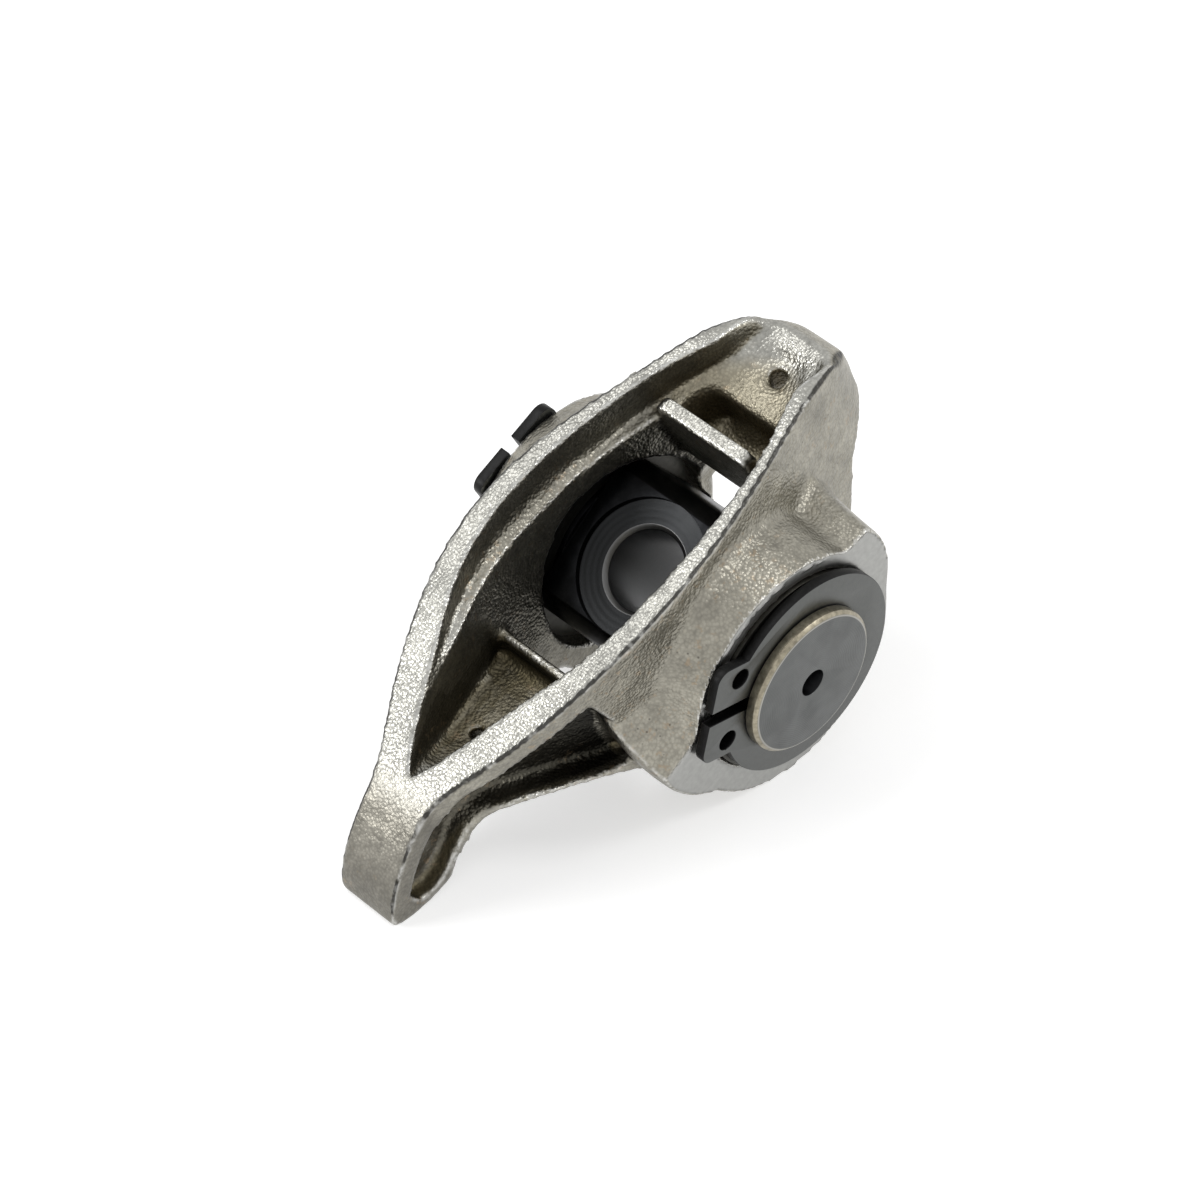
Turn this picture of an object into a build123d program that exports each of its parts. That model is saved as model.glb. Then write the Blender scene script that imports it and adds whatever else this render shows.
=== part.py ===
from build123d import *
import os
from math import asin, atan2, cos, degrees, hypot, pi, radians, sin

os.makedirs("parts", exist_ok=True)

# Rocker arm with a through-bolted trunnion, in millimetres.
# The origin is the middle of the trunnion, and the trunnion lies along Y.
# The arm is drawn level, in its own x and z, with the valve tip at -x and the pushrod
# end at +x, and is then pitched to the attitude in which it rests on a table.

# Trunnion
journal_radius = 8.0
journal_land = 1.45                 # between each snap ring and the end of the trunnion
end_chamfer = 0.4
block_radius = 10.2
block_side_flat = 8.9
bolt_flat_height = 7.3
stand_flat_height = 7.3
stand_pad_half = 5.4                # the stand flat reaches this far to each side
stand_relief = 0.8                  # and the block is cut back by this much beyond it
bolt_seat_radius = 7.2
bolt_seat_depth = 0.85
bolt_hole_radius = 4.2
bolt_hole_chamfer = 0.45
centre_drill_radius = 1.15
centre_drill_depth = 1.7
trunnion_lean = 15.0                # the bolt axis leans this far towards the valve tip

# Snap rings
ring_thickness = 1.1
ring_groove_depth = 0.4
ring_groove_side_play = 0.05
ring_outer_radius = 11.2
ring_offset = 0.75
ring_gap = 1.5
ear_reach = 13.05
ear_half_width = 5.6
ear_corner_radius = 1.4
ear_hole_radius = 1.1
ear_hole_circle = 10.45
ear_hole_angle = 21.0
front_ring_angle = 127.6            # direction of the gap, from the trunnion's x towards its z
rear_ring_angle = 77.0

# Needle bearings
needle_count = 16
needle_radius = 0.97
needle_play = 0.03                  # radial play at each raceway
cup_wall = 1.0
cup_width = 7.6
ring_running_gap = 0.1              # between each cup and its snap ring
lip_wall = 0.8
lip_clearance = 0.4
cage_wall = 1.3
cage_end = 0.55
cage_play = 0.12
slot_play = 0.05

# Bosses
boss_face_half = 16.15
ring_face_gap = 0.35                # between the machined face and the snap ring
face_bottom_radius = 12.45
face_bottom_x = -0.2
face_bottom_z = -2.35
face_cutter_radius = 12.6
cast_skin = 0.3                     # what the cutter leaves standing above the chord
bore_start = 3.0
face_left_cut = 4.75
face_right_cut = 6.6
face_left = (-17.1, 3.9)
face_left_shoulder = (-12.0, 4.7)
face_right_shoulder = (11.0, 6.6)
face_right = (14.4, 6.3)
face_right_lobe = (15.2, 2.2)
face_right_waist = (13.1, -4.3)
face_left_waist = (-13.3, -5.2)
face_left_lobe = (-15.9, -1.4)
# the boss at three distances out: growth to the left and right, top radius, lift to the left and right
boss_flare = [(8.0, -1.0, 0.8, 16.9, 8.6, 1.6), (13.0, 0.0, 0.2, 14.9, 3.4, 0.5),
              (boss_face_half + cast_skin, 0.0, 0.0, 12.85, 0.0, 0.0)]

# Rim: plan half-widths along the arm, outside and inside
tip_half_width = 3.75
tip_plan_end = -37.0
rim_outer = [(-28.7, 6.45), (-19.9, 10.0), (-8.5, 12.05), (5.5, 10.75), (17.3, 7.8), (23.6, 5.6), (26.4, 3.5)]
pushrod_end = 27.4
rim_inner = [(-29.2, 2.3), (-22.4, 5.2), (-15.9, 8.0), (-7.0, 9.65), (6.6, 8.75), (15.1, 6.7), (21.0, 4.8)]
inner_tip = -32.9
tip_slope = 0.85                    # half-width per length where the inside runs to a point
inner_end = 25.0

# Rim: height along the arm
tip_corner = (-44.3, 4.1)
rim_top = [(-42.9, 7.3), (-40.0, 10.4), (-34.5, 13.9), (-27.0, 16.1), (-17.0, 18.3), (-8.0, 19.0)]
rim_top_rear = [(3.3, 18.1), (12.2, 16.9), (20.8, 15.3), (24.9, 12.7)]
pushrod_shoulder = (27.3, 7.9)

# Underside of the arm
pad_middle = (-40.4, 2.35)
pad_end = (-36.6, 2.1)
pad_rise = (-33.0, 5.4)
arm_underside = [(-30.0, 7.0), (-24.0, 5.3), (-18.5, 1.6)]
cup_corner = (26.1, 4.0)
cup_face = 1.0
cup_face_end = 20.6
cup_face_start = 14.4
gusset_foot = (16.9, -4.6)
gusset_inner = 5.3                  # half the space between the gussets beside the cup
boss_arc_start = -10.0              # degrees round the boss bottom, on the pushrod side
boss_arc_end = 195.0                # and on the valve side

# Side recess of the valve arm
recess_floor = [(-28.7, 3.3), (-19.9, 6.6), (-8.5, 9.3)]
web_half_width = 1.6
recess_top = [(-35.7, 10.3), (-29.0, 12.9), (-22.0, 14.6)]
recess_start = (-41.0, 5.6)
recess_tip_bottom = (-40.6, 3.9)
recess_bottom = [(-37.4, 3.4), (-34.6, 5.4), (-31.2, 8.1), (-26.0, 7.0)]
recess_end_top = (-17.3, 15.3)
recess_end_bottom = (-14.8, 2.6)

# Inside of the arm
ledge_width = 1.1
core_top = 17.0
pocket_tip = -30.0
window_tip = -25.5
wall_draft = 1.5                    # how much further the inner wall stands in at window_foot
window_foot = 2.0
ledge_line = [(-35.0, 14.2), (-23.0, 15.9), (-10.0, 15.2), (0.0, 14.2), (8.0, 12.9), (27.0, 12.6)]
valve_floor = [(-32.5, 14.5), (-26.5, 10.0), (-16.05, 7.0)]
valve_rib_x = -15.0
valve_rib_top = 9.2
pushrod_rib_x = 10.5
pushrod_rib_thickness = 1.6
pushrod_rib_top = 15.1
pushrod_rib_half = 6.2
pushrod_rib_shoulder = 12.7
rib_corner_radius = 0.9
pushrod_floor = 6.2
pushrod_wall_foot = (11.6, 4.6)
block_start = 16.2
block_top = 11.1
cup_dome_radius = 6.1
arch_line = [(7.4, -3.0), (5.0, 1.6), (2.0, 4.2)]    # half of the arch, across and up

# Pushrod socket
socket_centre = (20.2, 3.8)         # along the arm and up
socket_lean = 8.0                   # degrees, the mouth towards the valve tip
socket_radius = 4.0
socket_mouth_radius = 4.7
socket_mouth_depth = -3.2
oil_hole_x = 20.7
oil_hole_radius = 1.0
drip_hole_x = -24.9
drip_hole_radius = 0.55
drip_hole_foot = 7.6

# Sizes that follow from the ones above
raceway_radius = journal_radius + 2 * (needle_radius + needle_play)
bearing_bore_radius = raceway_radius + cup_wall
needle_circle = (journal_radius + raceway_radius) / 2
ring_inner_face = boss_face_half + ring_face_gap
trunnion_half_length = ring_inner_face + ring_thickness + journal_land
cup_outer_end = ring_inner_face - ring_running_gap
cup_inner_end = cup_outer_end - cup_width
block_half_length = cup_inner_end - 0.3
cage_length = cup_width - 2 * lip_wall - 2 * cage_play
needle_length = cage_length - 2 * cage_end - 2 * slot_play
cage_middle = (cup_outer_end + cup_inner_end) / 2
groove_radius = journal_radius - ring_groove_depth
wall_inset = ledge_width + wall_draft
pushrod_rib_end = pushrod_rib_x + pushrod_rib_thickness
bolt_seat_height = bolt_flat_height - bolt_seat_depth
far = 60.0                          # cuts run out this far, beyond the whole arm
overlap = 1.0                       # how far the cuts of one side run past the arm's middle

# Bottom of the bosses, seen from the side
def bottom_point(angle):
    """Point round the bottom of a boss, in the arm's x and z."""
    return (face_bottom_x + face_bottom_radius * cos(radians(angle)),
            face_bottom_z + face_bottom_radius * sin(radians(angle)))


bottom_right = bottom_point(boss_arc_start)
bottom_middle = bottom_point(-90.0)
bottom_left = bottom_point(boss_arc_end)

# The arm rests on the bottoms of both bosses and on the corner of the valve tip.
reach = hypot(face_bottom_x - tip_corner[0], tip_corner[1] - face_bottom_z)
rise = atan2(tip_corner[1] - face_bottom_z, face_bottom_x - tip_corner[0])
rest_pitch = degrees(asin(face_bottom_radius / reach) + rise)

# Planes of the arm: arm_top has the arm's x and y, arm_side has its x and z
arm_x_dir = Vector(cos(radians(rest_pitch)), 0, sin(radians(rest_pitch)))
arm_z_dir = Vector(-sin(radians(rest_pitch)), 0, cos(radians(rest_pitch)))
arm_top = Plane(origin=(0, 0, 0), x_dir=arm_x_dir, z_dir=arm_z_dir)
arm_side = Plane(origin=(0, 0, 0), x_dir=arm_x_dir, z_dir=(0, -1, 0))

socket_section = Plane(origin=arm_x_dir * socket_centre[0] + arm_z_dir * socket_centre[1], x_dir=(0, 1, 0),
                       z_dir=arm_x_dir * cos(radians(socket_lean)) - arm_z_dir * sin(radians(socket_lean)))

# Planes of the trunnion, which leans against the arm
bolt_lean = radians(rest_pitch + trunnion_lean)
bolt_dir = Vector(-sin(bolt_lean), 0, cos(bolt_lean))
cross_dir = Vector(cos(bolt_lean), 0, sin(bolt_lean))
bolt_plane = Plane(origin=(0, 0, 0), x_dir=cross_dir, z_dir=bolt_dir)
trunnion_end = Plane(origin=(0, 0, 0), x_dir=cross_dir, z_dir=(0, -1, 0))


def plan_cut(start, points, end, inset=0.0):
    """Outline of a cut on the +Y side of the arm, through half-widths along it."""
    with BuildLine() as outline:
        Spline((start, 0), *[(x, width - inset) for x, width in points], (end, 0),
               tangents=[(1, tip_slope), (0, -1)])
        Polyline((end, 0), (end, -overlap), (start, -overlap), (start, 0))
    return outline.line


def boss_section(left_grow, right_grow, top_radius, left_lift, right_lift):
    """Outline of a boss across its axis: chord, arc over the bore, chord, lobes and bottom."""
    left = (face_left[0] - left_grow, face_left[1] + left_lift)
    left_shoulder = (face_left_shoulder[0], face_left_shoulder[1] + left_lift)
    right_shoulder = (face_right_shoulder[0], face_right_shoulder[1] + right_lift)
    right = (face_right[0] + right_grow, face_right[1] + right_lift)
    right_lobe = (face_right_lobe[0] + right_grow, face_right_lobe[1])
    left_lobe = (face_left_lobe[0] - left_grow, face_left_lobe[1])
    bottom = (face_bottom_x, face_bottom_z - face_bottom_radius)
    with BuildLine() as outline:
        Line(left, left_shoulder)
        ThreePointArc(left_shoulder, (0, top_radius), right_shoulder)
        Line(right_shoulder, right)
        ThreePointArc(right, right_lobe, face_right_waist)
        ThreePointArc(face_right_waist, bottom, face_left_waist)
        ThreePointArc(face_left_waist, left_lobe, left)
    return outline.line


# One boss, on the +Y side: it flares from the side wall out to its machined face
with BuildPart() as boss:
    for distance, left_grow, right_grow, top_radius, left_lift, right_lift in boss_flare:
        with BuildSketch(arm_side.offset(-distance)):
            add(boss_section(left_grow, right_grow, top_radius, left_lift, right_lift))
            make_face()
    loft()

# Side recess of the valve arm, as the solid that is taken away
with BuildPart() as side_recess:
    with BuildSketch(arm_top.offset(-far / 2)):
        with BuildLine():
            Line((-far, web_half_width), (tip_plan_end, web_half_width))
            Spline((tip_plan_end, web_half_width), *recess_floor, tangents=[(1, 0), (1, 0)])
            Polyline(recess_floor[-1], (recess_floor[-1][0], far), (-far, far), (-far, web_half_width))
        make_face()
    extrude(amount=far)
    with BuildSketch(arm_side):
        with BuildLine():
            Spline(recess_start, *recess_top, recess_end_top)
            Line(recess_end_top, recess_end_bottom)
            Spline(recess_end_bottom, *reversed(recess_bottom), recess_tip_bottom)
            Line(recess_tip_bottom, recess_start)
        make_face()
    extrude(amount=-far, mode=Mode.INTERSECT)

# Inside wall, from above the ledge down through the foot of the window
with BuildPart() as inner_core:
    for height, inset, start in ((core_top, ledge_width, pocket_tip), (window_foot, wall_inset, window_tip)):
        with BuildSketch(arm_top.offset(height)):
            add(plan_cut(start, rim_inner[1:], inner_end - inset, inset))
            make_face()
    loft()
    with BuildSketch(arm_top.offset(window_foot)):
        add(plan_cut(window_tip, rim_inner[1:], inner_end - wall_inset, wall_inset))
        make_face()
    extrude(amount=-far)
    with BuildSketch(arm_side):
        with BuildLine():
            Spline(*valve_floor)
            Polyline(valve_floor[-1], (valve_floor[-1][0], valve_rib_top), (valve_rib_x, valve_rib_top),
                     (valve_rib_x, -far), (pushrod_wall_foot[0], -far), pushrod_wall_foot,
                     (pushrod_rib_x, pushrod_floor), (pushrod_rib_x, pushrod_rib_shoulder),
                     (pushrod_rib_end, pushrod_rib_shoulder), (pushrod_rib_end, pushrod_floor),
                     (block_start, pushrod_floor), (block_start, block_top), (far, block_top),
                     (far, far), (-far, far), (-far, valve_floor[0][1]), valve_floor[0])
        make_face()
    extrude(amount=far, both=True, mode=Mode.INTERSECT)

    # the back of the pushrod cup bulges into the pocket
    with Locations(arm_x_dir * socket_centre[0] + arm_z_dir * socket_centre[1]):
        Sphere(cup_dome_radius, mode=Mode.SUBTRACT)

# Space inside the rim, above the ledge
with BuildPart() as rim_recess:
    with BuildSketch(arm_top):
        add(plan_cut(inner_tip, rim_inner, inner_end))
        make_face()
    extrude(amount=far)
    with BuildSketch(arm_side):
        with BuildLine():
            Spline(*ledge_line)
            Polyline(ledge_line[-1], (ledge_line[-1][0], far), (ledge_line[0][0], far), ledge_line[0])
        make_face()
    extrude(amount=far, both=True, mode=Mode.INTERSECT)

# Rocker body: one steel casting with its machined bores and faces
with BuildPart() as rocker_body:
    with BuildSketch(arm_top.offset(-far / 2)):
        with BuildLine():
            Line((-far, 0), (-far, tip_half_width))
            Line((-far, tip_half_width), (tip_plan_end, tip_half_width))
            Spline((tip_plan_end, tip_half_width), *rim_outer, (pushrod_end, 0), tangents=[(1, 0), (0, -1)])
            Line((pushrod_end, 0), (-far, 0))
        make_face()
    extrude(amount=far)
    with BuildSketch(arm_side):
        with BuildLine():
            Spline(tip_corner, *rim_top, *rim_top_rear, pushrod_shoulder)
            Polyline(pushrod_shoulder, cup_corner, (cup_face_end, cup_face), gusset_foot, bottom_right)
            ThreePointArc(bottom_right, bottom_middle, bottom_left)
            Spline(bottom_left, *reversed(arm_underside), pad_rise, pad_end)
            ThreePointArc(pad_end, pad_middle, tip_corner)
        make_face()
    extrude(amount=far, both=True, mode=Mode.INTERSECT)
    add(side_recess.part, mode=Mode.SUBTRACT)
    add(boss.part)
    add(rim_recess.part, mode=Mode.SUBTRACT)
    add(inner_core.part, mode=Mode.SUBTRACT)

    # space between the gussets
    with BuildSketch(arm_side):
        with Locations((cup_face_start, cup_face)):
            Rectangle(far, far, align=(Align.MIN, Align.MAX))
    extrude(amount=-gusset_inner, mode=Mode.SUBTRACT)

    # bearing bore and machined face of the boss
    with BuildSketch(arm_side.offset(-bore_start)):
        Circle(bearing_bore_radius)
    extrude(amount=-far, mode=Mode.SUBTRACT)
    with BuildSketch(arm_side.offset(-boss_face_half)):
        Circle(face_cutter_radius)
        with BuildLine():
            Polyline((-far, face_left_cut), (face_left_shoulder[0], face_left_cut),
                     (face_right_shoulder[0], face_right_cut), (far, face_right_cut),
                     (far, -far), (-far, -far), close=True)
        make_face()
    extrude(amount=-far, mode=Mode.SUBTRACT)

    # the other side of the arm is the same
    mirror(about=Plane.XZ)

    # rib across the arm between the window and the pushrod pocket
    with BuildSketch(Plane(origin=arm_x_dir * pushrod_rib_x, x_dir=(0, 1, 0), z_dir=arm_x_dir)):
        with Locations((0, (pushrod_rib_top + pushrod_floor) / 2)):
            RectangleRounded(2 * pushrod_rib_half, pushrod_rib_top - pushrod_floor, rib_corner_radius)
    extrude(amount=pushrod_rib_thickness)

    # arch under the pushrod pocket
    with BuildSketch(Plane(origin=arm_x_dir * pushrod_rib_x, x_dir=(0, 1, 0), z_dir=arm_x_dir)):
        with BuildLine():
            Spline(*arch_line, *[(-y, z) for y, z in reversed(arch_line)])
            Polyline((-arch_line[0][0], arch_line[0][1]), (-arch_line[0][0], -far),
                     (arch_line[0][0], -far), arch_line[0])
        make_face()
    extrude(amount=cup_face_start - pushrod_rib_x, mode=Mode.SUBTRACT)

    # pushrod socket: a ball seat with a conical mouth, drilled through to the block above
    with BuildSketch(socket_section):
        with BuildLine():
            Polyline((0, socket_mouth_depth), (socket_mouth_radius, socket_mouth_depth), (socket_radius, 0))
            RadiusArc((socket_radius, 0), (0, socket_radius), -socket_radius)
            Line((0, socket_radius), (0, socket_mouth_depth))
        make_face()
    revolve(axis=Axis(socket_section.origin, socket_section.y_dir), mode=Mode.SUBTRACT)
    with BuildSketch(arm_top.offset(socket_centre[1])):
        with Locations((oil_hole_x, 0)):
            Circle(oil_hole_radius)
    extrude(amount=far, mode=Mode.SUBTRACT)

    # small blind drip hole in the floor of the valve pocket
    with BuildSketch(arm_top.offset(drip_hole_foot)):
        with Locations((drip_hole_x, 0)):
            Circle(drip_hole_radius)
    extrude(amount=far, mode=Mode.SUBTRACT)
rocker_body.part.label = "rocker_body"
export_step(rocker_body.part, "parts/rocker_body.step")

# Trunnion: two journals with a flatted block between them, drilled for the bolt
with BuildPart() as trunnion:
    with BuildSketch(trunnion_end):
        Circle(journal_radius)
    extrude(amount=trunnion_half_length, both=True)
    chamfer(trunnion.edges().filter_by(GeomType.CIRCLE), length=end_chamfer)
    with BuildSketch(trunnion_end):
        Circle(block_radius)
        Rectangle(2 * block_side_flat, 2 * block_radius, mode=Mode.INTERSECT)
    extrude(amount=block_half_length, both=True)
    for height, turn in ((bolt_flat_height, 1), (stand_flat_height, -1)):
        with BuildSketch(trunnion_end):
            with Locations((0, turn * (height + block_radius))):
                Rectangle(4 * block_radius, 2 * block_radius)
        extrude(amount=block_half_length, both=True, mode=Mode.SUBTRACT)
    with BuildSketch(Plane(origin=(0, 0, 0), x_dir=(0, 1, 0), z_dir=cross_dir)):
        with Locations((0, stand_relief - stand_flat_height)):
            Rectangle(2 * block_half_length, block_radius, align=(Align.CENTER, Align.MAX))
        Rectangle(2 * stand_pad_half, 4 * block_radius, mode=Mode.SUBTRACT)
    extrude(amount=block_radius, both=True, mode=Mode.SUBTRACT)

    # bolt hole with its seat
    with BuildSketch(bolt_plane.offset(bolt_seat_height)):
        Circle(bolt_seat_radius)
    extrude(amount=bolt_seat_radius, mode=Mode.SUBTRACT)
    with BuildSketch(bolt_plane):
        Circle(bolt_hole_radius)
    extrude(amount=block_radius, both=True, mode=Mode.SUBTRACT)
    chamfer(trunnion.edges().filter_by(lambda edge: edge.geom_type == GeomType.CIRCLE
                                       and abs(edge.radius - bolt_hole_radius) < 1e-3), length=bolt_hole_chamfer)

    # snap ring grooves and centre drillings
    for side in (1, -1):
        with BuildSketch(trunnion_end.offset(side * (ring_inner_face - ring_groove_side_play))):
            Circle(2 * journal_radius)
            Circle(groove_radius, mode=Mode.SUBTRACT)
        extrude(amount=side * (ring_thickness + 2 * ring_groove_side_play), mode=Mode.SUBTRACT)
        with BuildSketch(trunnion_end.offset(side * (trunnion_half_length - centre_drill_depth))):
            Circle(centre_drill_radius)
        extrude(amount=side * far, mode=Mode.SUBTRACT)
trunnion.part.label = "trunnion"
export_step(trunnion.part, "parts/trunnion.step")

# The parts on each side of the arm; the front side is the one at -Y
for side_name, side, ring_angle in (("front", 1, front_ring_angle), ("rear", -1, rear_ring_angle)):

    # snap ring, with its gap along the ring plane's x
    turn = radians(ring_angle)
    ring_plane = Plane(origin=(0, -side * ring_inner_face, 0),
                       x_dir=cross_dir * cos(turn) + bolt_dir * sin(turn), z_dir=(0, -1, 0))
    with BuildPart() as snap_ring:
        with BuildSketch(ring_plane):
            with Locations(((ear_reach + journal_radius) / 2, 0)):
                ears = Rectangle(ear_reach - journal_radius, 2 * ear_half_width)
            fillet(ears.vertices().sort_by(Axis.X)[-2:], radius=ear_corner_radius)
            with Locations((-ring_offset, 0)):
                Circle(ring_outer_radius)
            Circle(groove_radius, mode=Mode.SUBTRACT)
            with Locations((ear_reach / 2, 0)):
                Rectangle(ear_reach, ring_gap, mode=Mode.SUBTRACT)
            with PolarLocations(ear_hole_circle, 2, start_angle=-ear_hole_angle, angular_range=4 * ear_hole_angle):
                Circle(ear_hole_radius, mode=Mode.SUBTRACT)
        extrude(amount=side * ring_thickness)
    snap_ring.part.label = side_name + "_snap_ring"
    export_step(snap_ring.part, "parts/" + side_name + "_snap_ring.step")

    # drawn cup, with a lip at each end
    with BuildPart() as bearing_cup:
        with BuildSketch(trunnion_end.offset(side * cup_inner_end)):
            Circle(bearing_bore_radius)
            Circle(journal_radius + lip_clearance, mode=Mode.SUBTRACT)
        extrude(amount=side * cup_width)
        with BuildSketch(trunnion_end.offset(side * (cup_inner_end + lip_wall))):
            Circle(raceway_radius)
        extrude(amount=side * (cup_width - 2 * lip_wall), mode=Mode.SUBTRACT)
    bearing_cup.part.label = side_name + "_bearing_cup"
    export_step(bearing_cup.part, "parts/" + side_name + "_bearing_cup.step")

    # cage, with a slot for each needle
    with BuildPart() as bearing_cage:
        with BuildSketch(trunnion_end.offset(side * cage_middle)):
            Circle(needle_circle + cage_wall / 2)
            Circle(needle_circle - cage_wall / 2, mode=Mode.SUBTRACT)
        extrude(amount=cage_length / 2, both=True)
        with BuildSketch(trunnion_end.offset(side * cage_middle)):
            with PolarLocations(needle_circle, needle_count):
                Rectangle(2 * cage_wall, 2 * (needle_radius + slot_play))
        extrude(amount=cage_length / 2 - cage_end, both=True, mode=Mode.SUBTRACT)
    bearing_cage.part.label = side_name + "_bearing_cage"
    export_step(bearing_cage.part, "parts/" + side_name + "_bearing_cage.step")

    # needles
    for number in range(needle_count):
        needle_name = side_name + "_needle_" + f"{number + 1:02d}"
        angle = 2 * pi * number / needle_count
        with BuildPart() as needle:
            with BuildSketch(trunnion_end.offset(side * cage_middle)):
                with Locations((needle_circle * cos(angle), needle_circle * sin(angle))):
                    Circle(needle_radius)
            extrude(amount=needle_length / 2, both=True)
        needle.part.label = needle_name
        export_step(needle.part, "parts/" + needle_name + ".step")
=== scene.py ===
import bpy
import bmesh
from math import cos, hypot, pi, prod, radians, sin
from mathutils import Matrix, Vector
from mathutils.bvhtree import BVHTree


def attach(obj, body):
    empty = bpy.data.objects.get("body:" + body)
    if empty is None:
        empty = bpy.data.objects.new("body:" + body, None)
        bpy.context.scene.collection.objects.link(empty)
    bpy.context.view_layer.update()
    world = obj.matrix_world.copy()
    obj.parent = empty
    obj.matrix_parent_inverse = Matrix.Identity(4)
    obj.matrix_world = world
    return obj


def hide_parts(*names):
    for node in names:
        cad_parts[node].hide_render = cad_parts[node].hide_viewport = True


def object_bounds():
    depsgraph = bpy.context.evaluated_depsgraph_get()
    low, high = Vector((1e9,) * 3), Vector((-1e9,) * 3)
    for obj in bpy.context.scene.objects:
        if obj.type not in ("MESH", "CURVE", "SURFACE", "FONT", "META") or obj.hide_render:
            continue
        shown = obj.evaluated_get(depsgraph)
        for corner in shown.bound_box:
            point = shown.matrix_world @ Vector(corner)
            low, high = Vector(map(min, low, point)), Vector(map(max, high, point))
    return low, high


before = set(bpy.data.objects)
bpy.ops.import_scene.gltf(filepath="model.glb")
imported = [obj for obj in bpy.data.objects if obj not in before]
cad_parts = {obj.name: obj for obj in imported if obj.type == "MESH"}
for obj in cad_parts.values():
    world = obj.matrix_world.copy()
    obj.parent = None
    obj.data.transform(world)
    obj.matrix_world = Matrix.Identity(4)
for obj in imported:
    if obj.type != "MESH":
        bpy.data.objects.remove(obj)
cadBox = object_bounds()
mm = 0.001

armPitch = radians(24.542)          # how far the arm is tipped up from level, as it rests
boltLean = radians(39.542)          # how far the bolt's axis leans from upright
weld = 0.0001 * mm                  # points nearer than this become one
sharpEdge = radians(35)             # edges bent more than this stay sharp, and get the bevel
flatEdge = radians(0.5)             # edges bent less than this are taken out


class Wire:                         # a node's socket that can stand in a Python expression
    def __init__(self, maker, socket):
        self.maker = maker
        self.socket = socket

    def maths(self, operation, *others):
        return self.maker.node("ShaderNodeMath", {"operation": operation}, [self, *others])

    def __add__(self, other):
        return self.maths("ADD", other)

    def __sub__(self, other):
        return self.maths("SUBTRACT", other)

    def __rsub__(self, other):
        return self.maker.node("ShaderNodeMath", {"operation": "SUBTRACT"}, [other, self])

    def __mul__(self, other):
        return self.maths("MULTIPLY", other)

    def __truediv__(self, other):
        return self.maths("DIVIDE", other)

    def __pow__(self, other):
        return self.maths("POWER", other)

    def __abs__(self):
        return self.maths("ABSOLUTE")

    __radd__ = __add__
    __rmul__ = __mul__

    def above(self, edge, soft):     # 0 below the edge, 1 above it
        return self.maker.node("ShaderNodeMapRange", {"interpolation_type": "SMOOTHSTEP"},
                               {"Value": self, "From Min": edge - soft, "From Max": edge + soft})

    def below(self, edge, soft):
        return 1 - self.above(edge, soft)

    def between(self, low, high, soft):
        return self.above(low, soft) * self.below(high, soft)

    def wave(self):
        return self.maths("SINE")


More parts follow.
